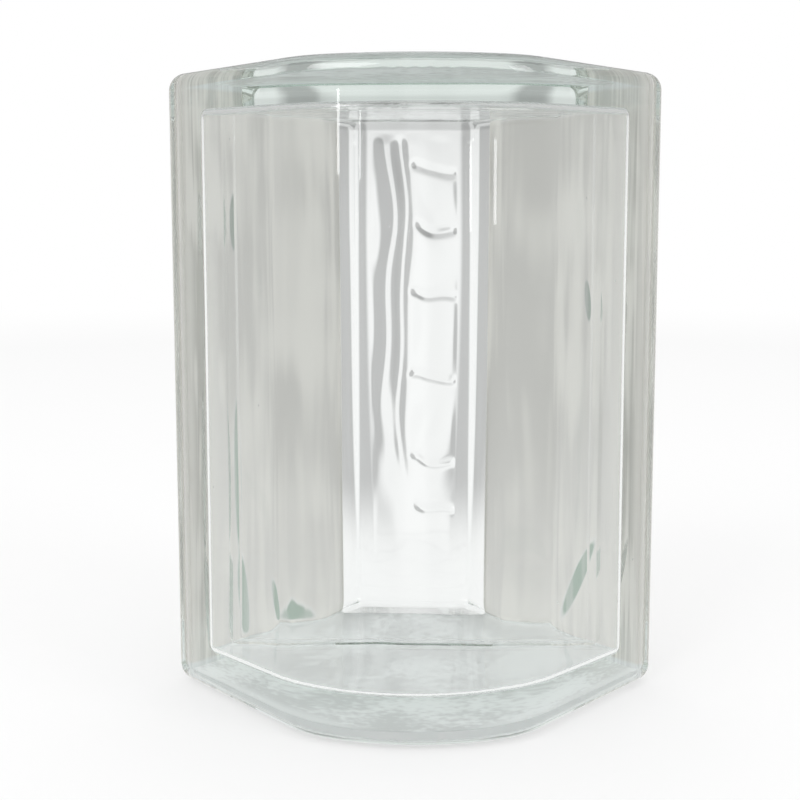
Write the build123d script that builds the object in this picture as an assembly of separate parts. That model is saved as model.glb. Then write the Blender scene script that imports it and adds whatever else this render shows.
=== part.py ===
from build123d import *

import os
from math import sqrt

# A hollow glass block for the corner of a wall: two pressed halves, fused into one piece.
# Its plan has six sides. Two outer faces at 90 degrees run into a bowed nose, two end faces
# take the mortar of the walls on each side, and a narrow face closes it on the room side.
# Lengths are in millimetres. +Z is up, and the nose points along -Y.

# The block from outside
block_height = 190.0
outer_leg = 108.6  # one outer face, from where the two would meet to its end
end_width = 75.0  # an end face, from the outer face to the room side
nose_setback = 47.0  # how far along each outer face the nose takes over
nose_radius = 78.0
nose_blend_radius = 35.0  # softens the change from outer face to nose
arris_radius = 5.5  # the rounded outer edges

# The shallow channel for mortar, round the top, the bottom and both ends
channel_depth = 2.0
outer_rim = 13.0
room_rim = 13.0
crest_radius = 1.2  # rounds the rims' inner edges

# The glass round the sealed hollow
outer_wall = 9.5
nose_wall = 10.0
room_wall = 10.0
end_wall_at_tip = 13.0
end_wall_at_heel = 7.5
floor_at_nose = 12.5
floor_at_seam = 11.0  # floor and ceiling thin towards the seam, so that each half leaves its mould
floor_at_room = 12.0
hollow_tip_radius = 3.0
hollow_heel_radius = 10.0
hollow_edge_radius = 2.5

# The bead of the fused seam, which stands into the hollow
seam_behind_tips = 6.0
bead_height = 0.8
bead_width = 3.0

overrun = 10.0


def leg_point(along, across):
    """A point of the right-hand leg: along it from the meeting of the outer faces, and across."""
    return Vector((along - across) / sqrt(2), (along + across) / sqrt(2))


def mirrored(point):
    return Vector(-point.X, point.Y)


def room_side():
    """Where the flat face on the room side is, behind the meeting of the outer faces."""
    return leg_point(outer_leg, end_width).Y


def nose_centre():
    """Where the nose's arc has its centre."""
    half_chord = nose_setback / sqrt(2)
    return half_chord + sqrt(nose_radius**2 - half_chord**2)


def round_pair(face, corner, radius):
    """Rounds a corner of a plan and its mirror image."""
    pair = [face.vertices().sort_by_distance(p)[0] for p in (corner, mirrored(corner))]
    return fillet(pair, radius)


def bowed_front(face_in):
    """The bow of the nose, for outer faces set in, and where it meets the right-hand one."""
    radius = nose_radius - face_in
    rise = nose_centre() - face_in * sqrt(2)
    half_chord = (rise - sqrt(2 * radius**2 - rise**2)) / 2
    shoulder = Vector(half_chord, half_chord + face_in * sqrt(2))
    front = Vector(0, nose_centre() - radius)
    return ThreePointArc(mirrored(shoulder), front, shoulder), shoulder


def outer_plan():
    """The plan of the block."""
    bow, shoulder = bowed_front(0)
    right = [leg_point(outer_leg, 0), leg_point(outer_leg, end_width)]
    left = [mirrored(point) for point in reversed(right)]
    face = make_face([bow, Polyline(shoulder, *right, *left, mirrored(shoulder))])
    return round_pair(face, shoulder, nose_blend_radius)


def channel_plan(end_in):
    """What the two rims leave between them. Near the ends, its room side turns square to them."""
    bow, shoulder = bowed_front(outer_rim)
    tip = leg_point(outer_leg - end_in, outer_rim)
    heel = leg_point(outer_leg - end_in, end_width - room_rim)
    turn = leg_point(outer_leg - (sqrt(2) - 1) * room_rim, end_width - room_rim)
    right = [tip, heel, turn]
    left = [mirrored(point) for point in reversed(right)]
    face = make_face([bow, Polyline(shoulder, *right, *left, mirrored(shoulder))])
    return round_pair(face, shoulder, nose_blend_radius)


def blank():
    """The block before its channel is pressed: a rounded solid of the full plan."""
    solid = extrude(outer_plan(), block_height)
    return fillet(solid.edges(), arris_radius)


def channel():
    """The space of the mortar channel: what a smaller core leaves free between the rims."""
    core = extrude(channel_plan(channel_depth), block_height - 2 * channel_depth)
    around = extrude(channel_plan(-overrun), block_height + 2 * overrun)
    return Pos(0, 0, -overrun) * around - Pos(0, 0, channel_depth) * core


def body():
    """The block as it looks from outside, still without its hollow."""
    whole = blank()
    space = channel()
    pressed = whole - space
    return fillet(new_edges(whole, space, combined=pressed), crest_radius)


def hollow_plan(bead):
    """The plan of the hollow, set in all round by a bead."""
    face_in = outer_wall + bead
    tip = leg_point(outer_leg - end_wall_at_tip - bead, face_in)
    far = leg_point(outer_leg - end_wall_at_heel - bead, end_width)
    back = room_side() - room_wall - bead
    heel = tip + (far - tip) * ((back - tip.Y) / (far.Y - tip.Y))
    meeting = Vector(0, face_in * sqrt(2))
    face = make_face(Polyline(meeting, tip, heel, mirrored(heel), mirrored(tip), close=True))
    apex = face.vertices().sort_by_distance(meeting)[0]
    # A tangent bow between the two flats, as deep as the wall at the nose leaves it
    front = nose_centre() - nose_radius + nose_wall + bead
    face = fillet(apex, (front - meeting.Y) / (sqrt(2) - 1))
    face = round_pair(face, tip, hollow_tip_radius)
    return round_pair(face, heel, hollow_heel_radius)


def hollow_column(bead):
    """The hollow's plan as a column, as tall as the block."""
    return extrude(hollow_plan(bead), block_height)


def between(column, start, end, floor_at_start, floor_at_end):
    """The part of a column between two places of Y, with a floor and a ceiling that may slope."""
    lower = [(start, floor_at_start), (end, floor_at_end)]
    upper = [(end, block_height - floor_at_end), (start, block_height - floor_at_start)]
    side = make_face(Plane.YZ * Polyline(*lower, *upper, close=True))
    return column & extrude(side, outer_leg, both=True)


def half_hollow(column, seam_side, far_side, floor_at_far_side):
    """One half of the hollow, rounded along its floor and ceiling, and open at the seam."""
    half = between(column, seam_side, far_side, floor_at_seam, floor_at_far_side)
    open_face = half.faces().sort_by_distance(Vector(0, seam_side, block_height / 2))[0]
    upright = half.edges().filter_by(Axis.Z)
    return fillet(half.edges() - upright - open_face.edges(), hollow_edge_radius)


def hollow():
    """The sealed hollow: two halves, and a slightly smaller neck between them at the seam."""
    column = hollow_column(0)
    extent = column.bounding_box()
    seam = outer_leg / sqrt(2) + seam_behind_tips
    bead_front = seam - bead_width / 2
    bead_back = seam + bead_width / 2
    outer_half = half_hollow(column, bead_front, extent.min.Y, floor_at_nose)
    room_half = half_hollow(column, bead_back, extent.max.Y, floor_at_room)
    floor_at_bead = floor_at_seam + bead_height
    neck = between(hollow_column(bead_height), bead_front, bead_back, floor_at_bead, floor_at_bead)
    return outer_half + neck + room_half


def block():
    """The finished block on its bed, with the middle of its plan over the origin."""
    solid = body() - hollow()
    return Pos(0, -solid.bounding_box().center().Y, 0) * solid


os.makedirs("parts", exist_ok=True)
export_step(block(), "parts/glass_block.step")
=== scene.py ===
import math

import bpy
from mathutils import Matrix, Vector


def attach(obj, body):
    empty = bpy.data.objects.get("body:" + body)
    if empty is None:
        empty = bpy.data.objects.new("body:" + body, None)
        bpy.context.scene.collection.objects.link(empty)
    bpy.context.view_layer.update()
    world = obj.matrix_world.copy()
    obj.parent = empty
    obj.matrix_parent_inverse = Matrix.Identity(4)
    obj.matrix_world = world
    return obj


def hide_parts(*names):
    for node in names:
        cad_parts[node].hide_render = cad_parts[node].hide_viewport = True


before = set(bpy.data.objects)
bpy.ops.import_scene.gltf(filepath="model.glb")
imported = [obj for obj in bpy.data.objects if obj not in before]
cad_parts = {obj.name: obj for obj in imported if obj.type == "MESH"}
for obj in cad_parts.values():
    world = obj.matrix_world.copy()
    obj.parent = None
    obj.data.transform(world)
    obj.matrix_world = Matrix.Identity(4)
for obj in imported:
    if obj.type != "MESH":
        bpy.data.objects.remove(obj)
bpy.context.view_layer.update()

# The block itself: two pressed halves of clear soda-lime glass, fused round a sealed hollow.
# It starts as a merged copy of the measured solid, so that its curves shade smoothly and
# light bends through them as through one piece.
HEIGHT = 0.190
MID_Y = 0.0778121  # from where the outer faces would meet back to the middle of the plan
OUTER_LEG = 0.1086
END_WIDTH = 0.075
SEAM_Y = OUTER_LEG / math.sqrt(2) + 0.006 - MID_Y
NOSE_RADIUS = 0.078
NOSE_CENTRE = 0.1037996
NOSE_REACH = 0.0332  # how far the nose goes to each side
ROOM_SIDE = 0.1298248


def select_only(piece):
    bpy.ops.object.select_all(action="DESELECT")
    piece.select_set(True)
    bpy.context.view_layer.objects.active = piece


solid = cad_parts["glass_block"]
glass = solid.copy()
glass.data = solid.data.copy()
glass.name = "pressed_glass"
bpy.context.scene.collection.objects.link(glass)
select_only(glass)
bpy.ops.mesh.customdata_custom_splitnormals_clear()
bpy.ops.object.mode_set(mode="EDIT")
bpy.ops.mesh.select_all(action="SELECT")
bpy.ops.mesh.remove_doubles(threshold=0.000002)
bpy.ops.mesh.mark_sharp(clear=True)
bpy.ops.object.mode_set(mode="OBJECT")

# The inside of the room wall is the part that shows best through the nose, and it isn't even: one
# half is drawn into upright folds, and the other lies in laps, one above the other, where the glass
# chilled before it had filled the mould. The flat is cut into small faces that then follow them
ROOM_WALL = 0.010
WALL_FACE = ROOM_SIDE - ROOM_WALL - MID_Y
WALL_EDGE = 0.0006  # what stays flat along its edges
WALL_TILES = 8
TILE_CUTS = 40
LAP_HEIGHTS = (0.1618, 0.1416, 0.1194, 0.0909, 0.0614, 0.0449)
FOLD_PLACE = -0.0050


def on_wall(point):
    return abs(point.y - WALL_FACE) < 0.000005


def wall_faces():
    """The faces that make up the flat, the largest first. Leaves edit mode."""
    bpy.ops.object.mode_set(mode="OBJECT")
    points = [vertex.co for vertex in glass.data.vertices]
    faces = [face for face in glass.data.polygons if all(on_wall(points[index]) for index in face.vertices)]
    return sorted(faces, key=lambda face: -face.area)


def select_faces(faces):
    """Selects just these faces and goes into edit mode."""
    for part in [*glass.data.vertices, *glass.data.edges, *glass.data.polygons]:
        part.select = False
    for face in faces:
        face.select = True
    bpy.ops.object.mode_set(mode="EDIT")


bpy.context.tool_settings.mesh_select_mode = (False, False, True)
select_faces(wall_faces())
bpy.ops.mesh.dissolve_faces()
select_faces(wall_faces()[:1])
bpy.ops.mesh.inset(thickness=WALL_EDGE)
flat_corners = [glass.data.vertices[index].co.copy() for index in wall_faces()[0].vertices]
wall_right = max(corner.x for corner in flat_corners)
wall_low = min(corner.z for corner in flat_corners)
wall_high = max(corner.z for corner in flat_corners)


def in_relief(point):
    return abs(point.x) < wall_right - 0.000001 and wall_low + 0.000001 < point.z < wall_high - 0.000001


for tile in range(1, WALL_TILES):
    select_faces(face for face in wall_faces() if in_relief(face.center))
    cut = wall_low + (wall_high - wall_low) * tile / WALL_TILES
    bpy.ops.mesh.bisect(plane_co=(0.0, 0.0, cut), plane_no=(0.0, 0.0, 1.0))
select_faces(face for face in wall_faces() if in_relief(face.center))
bpy.ops.mesh.subdivide(number_cuts=TILE_CUTS)
bpy.ops.object.mode_set(mode="OBJECT")


def soft(value, low, high):
    """A soft step from 0 to 1, as the value goes from low to high."""
    share = min(max((value - low) / (high - low), 0.0), 1.0)
    return share * share * (3.0 - 2.0 * share)


def ridge_of(distance, width):
    """A rounded ridge, 1 high in its middle."""
    return math.exp(-((distance / width) ** 2))


def wall_relief(x, z):
    """How far the wall stands into the hollow at a place, beyond its flat."""
    sway = 0.0012 * math.sin(z * 55.0) + 0.0006 * math.sin(z * 131.0 + 1.0)
    high_up = soft(z, 0.046, 0.070)
    relief = 0.0009 * ridge_of(x - FOLD_PLACE - sway, 0.0021) * high_up
    relief -= 0.0011 * ridge_of(x - FOLD_PLACE + 0.0058 - 1.5 * sway, 0.0030) * soft(z, 0.060, 0.095)
    beside = soft(x, FOLD_PLACE + 0.003 + sway, FOLD_PLACE + 0.0055 + sway)
    for count, lap in enumerate(LAP_HEIGHTS):
        bend = 0.0022 * ridge_of(x + 0.0005, 0.004) + 0.0006 * math.sin(x * 330.0 + count * 2.1)
        relief += 0.0010 * ridge_of(z - lap - bend, 0.0014) * beside
    relief += 0.00035 * math.sin(x * 260.0 + 3.0 * math.sin(z * 41.0)) * math.sin(z * 83.0 + 2.0)
    inside = soft(wall_right - abs(x), 0.0, 0.0022) * soft(z, wall_low, wall_low + 0.004)
    return relief * inside * soft(-z, -wall_high, 0.004 - wall_high)


for vertex in glass.data.vertices:
    if on_wall(vertex.co) and in_relief(vertex.co):
        vertex.co.y -= wall_relief(vertex.co.x, vertex.co.z)
bpy.ops.object.shade_smooth_by_angle(angle=math.radians(28), keep_sharp_edges=False)
bpy.ops.object.modifier_add(type="WEIGHTED_NORMAL")
flat_first = glass.modifiers[-1]
flat_first.mode = "FACE_AREA"
flat_first.weight = 90
flat_first.keep_sharp = True
bpy.ops.object.modifier_apply(modifier=flat_first.name)


# Seeds: the tiny gas bubbles that stay behind in the glass of the front wall when it is pressed.
# Each is a space in the glass, so its faces point into it.
def add_seed(along, across, height, size, side):
    """One bubble. Its place is measured on the leg at that side, from the outer face inwards."""
    x = side * (along - across) / math.sqrt(2)
    y = (along + across) / math.sqrt(2) - MID_Y
    bpy.ops.object.select_all(action="DESELECT")
    bpy.ops.mesh.primitive_ico_sphere_add(subdivisions=2, radius=size / 2, location=(x, y, height))
    seed = bpy.context.active_object
    bpy.ops.transform.resize(value=(1.0, 1.0, 1.6))
    bpy.ops.object.transform_apply(location=True, rotation=True, scale=True)
    bpy.ops.object.shade_smooth()
    bpy.ops.object.mode_set(mode="EDIT")
    bpy.ops.mesh.select_all(action="SELECT")
    bpy.ops.mesh.flip_normals()
    bpy.ops.object.mode_set(mode="OBJECT")
    return seed


seeds = [
    add_seed(0.0905, 0.0050, 0.0760, 0.00050, -1),
    add_seed(0.0890, 0.0060, 0.0650, 0.00035, -1),
    add_seed(0.0850, 0.0035, 0.1280, 0.00045, 1),
    add_seed(0.0720, 0.0062, 0.1520, 0.00030, 1),
    add_seed(0.0655, 0.0048, 0.0930, 0.00030, -1),
    add_seed(0.0980, 0.0052, 0.0410, 0.00040, 1),
    add_seed(0.0600, 0.0040, 0.0365, 0.00035, 1),
    add_seed(0.0780, 0.0058, 0.1690, 0.00030, -1),
]
for seed in seeds:
    seed.select_set(True)
glass.select_set(True)
bpy.context.view_layer.objects.active = glass
bpy.ops.object.join()


# Which faces are which: those of the hollow, and those of the channel that takes the mortar
def deep_in(point):
    """How deep a place is behind the outer faces and the nose."""
    back = point.y + MID_Y
    across = (back - abs(point.x)) / math.sqrt(2)
    if abs(point.x) > NOSE_REACH:
        return across
    return min(across, NOSE_RADIUS - math.hypot(point.x, back - NOSE_CENTRE))


THINNEST_WALL = 0.008  # what lies deeper belongs to the hollow
THINNEST_END = 0.005
CREST = 0.0117  # where the inner edges of the rims begin to round
CHANNEL = 0.0022  # the depth of the channel, and a little more
TURN = 0.0056  # near the ends, the rim of the room side turns square to them


def in_hollow(point):
    along = (abs(point.x) + point.y + MID_Y) / math.sqrt(2)
    low_enough = abs(point.z - HEIGHT / 2) < HEIGHT / 2 - THINNEST_WALL
    return low_enough and deep_in(point) > THINNEST_WALL and along < OUTER_LEG - THINNEST_END


def in_channel(point):
    back = point.y + MID_Y
    along = (abs(point.x) + back) / math.sqrt(2)
    across = (back - abs(point.x)) / math.sqrt(2)
    pressed_in = abs(point.z - HEIGHT / 2) > HEIGHT / 2 - CHANNEL or along > OUTER_LEG - CHANNEL
    by_end = along > OUTER_LEG - TURN and across < END_WIDTH - CREST
    return pressed_in and deep_in(point) > CREST and (ROOM_SIDE - back > CREST or by_end)


corners = [vertex.co for vertex in glass.data.vertices]
for name, belongs in (("hollow_face", in_hollow), ("mortar_face", in_channel)):
    marks = glass.data.attributes.new(name, "FLOAT", "FACE")
    for face, mark in zip(glass.data.polygons, marks.data):
        mark.value = float(all(belongs(corners[index]) for index in face.vertices))


# What the block looks like: a faint grey-green glass, a little wavy inside, and coated where it takes
# the mortar. The maths of its pattern is written with the two classes below.
class Value:
    """One output in the shader. Sums, differences, products and absolute values of it add Math nodes."""

    def __init__(self, finish, socket):
        self.finish = finish
        self.socket = socket

    def maths(self, operation, *values):
        return self.finish.node("Math", {"operation": operation}, values)

    def __add__(self, other):
        return self.maths("ADD", self, other)

    def __radd__(self, other):
        return self.maths("ADD", other, self)

    def __sub__(self, other):
        return self.maths("SUBTRACT", self, other)

    def __rsub__(self, other):
        return self.maths("SUBTRACT", other, self)

    def __mul__(self, other):
        return self.maths("MULTIPLY", self, other)

    def __rmul__(self, other):
        return self.maths("MULTIPLY", other, self)

    def __abs__(self):
        return self.maths("ABSOLUTE", self)

    def or_more(self, other):
        """The larger of this and another value."""
        return self.maths("MAXIMUM", self, other)


class Finish:
    """The nodes of a material or of the world, and the one method that adds to them."""

    def __init__(self, owner):
        self.owner = owner
        owner.use_nodes = True
        self.tree = owner.node_tree
        self.tree.nodes.clear()

    def node(self, kind, settings=None, values=(), out=0):
        """Adds a node of a type, with its settings first and then the values or links."""
        made = self.tree.nodes.new("ShaderNode" + kind)
        for name, setting in (settings or {}).items():
            setattr(made, name, setting)
        pairs = values.items() if isinstance(values, dict) else enumerate(values)
        for key, value in pairs:
            if isinstance(value, Value):
                self.tree.links.new(value.socket, made.inputs[key])
            else:
                made.inputs[key].default_value = value
        return Value(self, made.outputs[out] if len(made.outputs) else None)

    def step(self, value, low, high):
        """A soft step from 0 to 1, as the value goes from low to high."""
        return self.node("MapRange", {"interpolation_type": "SMOOTHSTEP"}, (value, low, high, 0.0, 1.0))

    def blend(self, share, first, second):
        """Mixes two colours."""
        return self.node("Mix", {"data_type": "RGBA"}, {0: share, 6: first, 7: second}, out=2)

    def noise(self, place, stretch, scale, detail=2.0, roughness=0.5):
        """Noise from 0 to 1 on places that are stretched first."""
        stretched = self.node("VectorMath", {"operation": "MULTIPLY"}, (place, stretch))
        values = {"Vector": stretched, "Scale": scale, "Detail": detail, "Roughness": roughness}
        return self.node("TexNoise", {"noise_dimensions": "3D"}, values)


clear = Finish(bpy.data.materials.new("clear_pressed_glass"))
place = clear.node("TexCoord", out=3)
x, y, z = (clear.node("SeparateXYZ", values=(place,), out=axis) for axis in range(3))
on_hollow = clear.node("Attribute", {"attribute_name": "hollow_face"}, out=2)
on_mortar = clear.node("Attribute", {"attribute_name": "mortar_face"}, out=2)


def glass_surface(height, roughness, tint=(1.0, 1.0, 1.0, 1.0)):
    """Clear glass with a surface that is waved by a height."""
    return clear.node("BsdfPrincipled", values={
        "Base Color": tint,
        "Roughness": roughness,
        "IOR": 1.52,
        "Transmission Weight": 1.0,
        "Normal": clear.node("Bump", values={"Height": height, "Strength": 1.0, "Distance": 1.0}),
    })


# Outside, the faces are fire-polished and flat. In the hollow they keep the long waves that the
# plunger drew in the hot glass, which are deeper low down near the floor
outer_skin = clear.node("BsdfPrincipled", values={
    "Base Color": (1.0, 1.0, 1.0, 1.0),
    "Roughness": 0.02,
    "IOR": 1.52,
    "Transmission Weight": 1.0,
})
long_waves = clear.noise(place, (1.0, 1.0, 0.30), 60.0, detail=0.0)

hollow_skin = glass_surface(
    long_waves * (0.00026 + clear.step(z, 0.045, 0.012) * 0.00060),
    0.02,
)

# The mortar faces carry a thin whitish coat, brushed on upright and cloudy, which lets light through
back_y = y + MID_Y
along = (abs(x) + back_y) * math.sqrt(0.5)
across = (back_y - abs(x)) * math.sqrt(0.5)
bed = clear.step(abs(z - HEIGHT / 2), 0.0905, 0.0920)
brushed = clear.noise(place, (1.0, 1.0, 0.05), 360.0, detail=1.0, roughness=0.65)
cloudy = clear.noise(place, (1.0, 1.0, 0.6), 42.0, detail=1.0)
stain_and_painted_light = clear.step(brushed * 0.45 + cloudy * 0.55, 0.40, 0.60)
# Within 16 to 23 mm of the outer faces the coat is painted paler and laid on thicker: painted light,
# lifting the band along the front that lies in shade
stain_and_painted_light = stain_and_painted_light.or_more(clear.step(across, 0.023, 0.016) * 0.75)


# Near the seam the coat is thin in places, like long leaves, and the green of the glass shows
def thin_place(side, at, height, wide, long, lean):
    """From 0 to 1 in one leaf: at how deep on the end face and how high, with half its size."""
    rise = z - height
    aside = across - at - rise * lean
    off = clear.node("VectorMath", {"operation": "LENGTH"}, (
        clear.node("CombineXYZ", values=(aside * (1 / wide), rise * (1 / long), 0.0)),), out=1)
    return clear.step(off, 1.0, 0.7) * clear.step(x * side, 0.0, 0.001)


thin = 0.0
for leaf in (
    # side, how deep, how high, half its width, half its length, and how far it leans
    (-1, 0.0262, 0.1449, 0.0020, 0.0110, 0.00),
    (-1, 0.0262, 0.0640, 0.0020, 0.0300, 0.00),
    (-1, 0.0280, 0.0230, 0.0028, 0.0180, -0.10),
    (-1, 0.0450, 0.0165, 0.0034, 0.0110, -0.46),
    (1, 0.0315, 0.0285, 0.0030, 0.0170, -0.50),
    (1, 0.0290, 0.1200, 0.0015, 0.0080, 0.10),
):
    thin = thin_place(*leaf) + thin
thin = thin * (1.0 - bed) * (0.7 + brushed * 0.5)

# The seam of the two halves is a low ridge right round the mortar faces
ridge = clear.step(abs(y - SEAM_Y), 0.0011, 0.0003) * 0.00035
bare_glass = glass_surface(ridge, 0.32, clear.blend(thin, (1.0, 1.0, 1.0, 1.0), (0.10, 0.17, 0.12, 1.0)))
# The coat's colour runs from a darker to a paler cream with the random stains, and is paler near the front
# edges as painted light
chalk = clear.node("BsdfPrincipled", values={
    "Base Color": clear.blend(
        bed,
        clear.blend(stain_and_painted_light, (0.62, 0.60, 0.54, 1.0), (0.96, 0.945, 0.88, 1.0)),
        (0.95, 0.96, 0.96, 1.0),
    ),
    "Roughness": 0.8,
})
warm_glow = clear.node("BsdfTranslucent", values={"Color": (0.95, 0.94, 0.89, 1.0)})
cool_glow = clear.node("BsdfTranslucent", values={"Color": (0.92, 0.96, 0.95, 1.0)})
glow = clear.node("MixShader", values=(bed, warm_glow, cool_glow))
coat = clear.node("MixShader", values=(0.40 + stain_and_painted_light * 0.30, chalk, glow))
on_top = clear.step(z, 0.180, 0.182)
coverage = (0.70 + stain_and_painted_light * 0.2 + bed * 0.1) * (1.0 - thin) * (1.0 - on_top * (1.0 - stain_and_painted_light) * 0.3)
mortar_skin = clear.node("MixShader", values=(coverage, bare_glass, coat))

bare_skin = clear.node("MixShader", values=(on_hollow, outer_skin, hollow_skin))
skin = clear.node("MixShader", values=(on_mortar, bare_skin, mortar_skin))
tinge = clear.node("VolumeAbsorption", values={"Color": (0.62, 0.72, 0.67, 1.0), "Density": 8.0})
clear.node("OutputMaterial", values={"Surface": skin, "Volume": tinge})

glass.data.materials.clear()
glass.data.materials.append(clear.owner)
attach(glass, "root")
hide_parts("glass_block")

# The floor: a plain pale sheet that the block stands on. Far away it fades into the white of the
# backdrop, also where it is seen in the glass, and near the block it keeps the shadow.
BESIDE_SHADE = 0.48  # how much darker the places beside the block are where the glass shows them
bpy.ops.object.select_all(action="DESELECT")
bpy.ops.mesh.primitive_circle_add(vertices=96, radius=6.0, fill_type="NGON", location=(0.0, 0.0, -0.0004))
floor = bpy.context.active_object
floor.name = "floor"
bpy.ops.object.transform_apply(location=True, rotation=True, scale=True)
pale = Finish(bpy.data.materials.new("pale_floor"))
ground = pale.node("TexCoord", out=3)
away = pale.node("VectorMath", {"operation": "LENGTH"}, (ground,), out=1)
by_eye, by_gloss, by_glass = (
    pale.node("LightPath", out=name) for name in ("Is Camera Ray", "Is Glossy Ray", "Is Transmission Ray")
)
shown = by_eye.or_more(by_gloss).or_more(by_glass)
sheet = pale.node("BsdfPrincipled", values={"Base Color": (0.90, 0.90, 0.90, 1.0), "Roughness": 0.9})
way = pale.node("VectorMath", {"operation": "NORMALIZE"}, (ground,))
to_side = abs(pale.node("SeparateXYZ", values=(way,), out=0))
beside = pale.step(to_side, 0.07, 0.14) * pale.step(to_side, 0.36, 0.24) * pale.step(away, 0.12, 0.30)
shade = pale.blend(beside * BESIDE_SHADE * (1.0 - by_eye), (1.0, 1.0, 1.0, 1.0), (0.0, 0.0, 0.0, 1.0))
white = pale.node("Emission", values={"Color": shade, "Strength": 1.0})
near = 0.55 + by_glass.or_more(by_gloss) * 0.45
fade = near.or_more(pale.step(away, 0.35, 1.6)) * shown
pale.node("OutputMaterial", values={"Surface": pale.node("MixShader", values=(fade, sheet, white))})
floor.data.materials.append(pale.owner)
pale.owner.cycles.emission_sampling = "NONE"

# Soft light all round, white behind the block, and a paler grey to the sides and above for what
# the glass bends into view, so that its walls and waves can be told apart
world = bpy.data.worlds.new("studio")
bpy.context.scene.world = world
world.cycles.sampling_method = "NONE"  # the glass finds it by itself, and the floor too
studio = Finish(world)
way = studio.node("TexCoord", out=0)
to_side = abs(studio.node("SeparateXYZ", values=(way,), out=0))
upwards = studio.node("SeparateXYZ", values=(way,), out=2)
by_eye, by_gloss, by_glass = (
    studio.node("LightPath", out=name) for name in ("Is Camera Ray", "Is Glossy Ray", "Is Transmission Ray")
)
beside = studio.step(to_side, 0.07, 0.14) * studio.step(to_side, 0.36, 0.24)
backdrop = (1.0 - beside * BESIDE_SHADE) * (1.0 - studio.step(upwards, -0.04, 0.25) * 0.36)
behind_glass = by_gloss.or_more(by_glass)
level = by_eye + (1.0 - by_eye) * (behind_glass * backdrop + (1.0 - behind_glass) * 0.95)
light = studio.node("Background", values={"Color": (1.0, 1.0, 1.0, 1.0), "Strength": level})
studio.node("OutputWorld", values={"Surface": light})


# Lamps: a large soft box high on the left, a smaller and weaker one on the right, and two narrow
# ones whose reflections stand on the front as short upright glints
def add_soft_box(name, location, size, energy):
    bpy.ops.object.select_all(action="DESELECT")
    bpy.ops.object.light_add(type="AREA", location=location)
    lamp = bpy.context.active_object
    lamp.name = name
    lamp.data.shape = "RECTANGLE"
    lamp.data.size = size[0]
    lamp.data.size_y = size[1]
    lamp.data.energy = energy
    aim = Vector((0.0, 0.0, HEIGHT / 2)) - Vector(location)
    lamp.rotation_euler = aim.to_track_quat("-Z", "Y").to_euler()
    return lamp


add_soft_box("key_light", (-0.9, -1.0, 1.3), (0.9, 0.7), 7.0)
add_soft_box("fill_light", (1.1, -0.7, 0.8), (0.5, 0.7), 4.0)
add_soft_box("left_slit", (-0.78, -1.16, 0.266), (0.03, 0.12), 0.09)
add_soft_box("right_slit", (0.80, -1.14, 0.195), (0.03, 0.12), 0.08)

# Light crosses many walls of glass on its way, and goes back and forth in the thick ends
bpy.context.scene.cycles.max_bounces = 14
bpy.context.scene.cycles.glossy_bounces = 12
bpy.context.scene.cycles.diffuse_bounces = 5
bpy.context.scene.cycles.transmission_bounces = 14

# The camera stands before the nose, a little above the block's middle, and looks slightly down
bpy.ops.object.select_all(action="DESELECT")
camera_data = bpy.data.cameras.new("camera")
camera = bpy.data.objects.new("camera", camera_data)
bpy.context.scene.collection.objects.link(camera)
FOCAL_PIXELS = 1146.0
camera_data.sensor_width = 36.0
camera_data.lens = FOCAL_PIXELS / 800 * 36.0
camera_data.shift_y = (336 - 400) / 800
camera_data.clip_start = 0.01
camera.location = (-0.0008, -0.3541, 0.1470)
camera.rotation_euler = (math.pi / 2 - 0.1044, 0.0009, 0.0104)
bpy.context.scene.camera = camera
bpy.context.scene.view_settings.view_transform = "Standard"
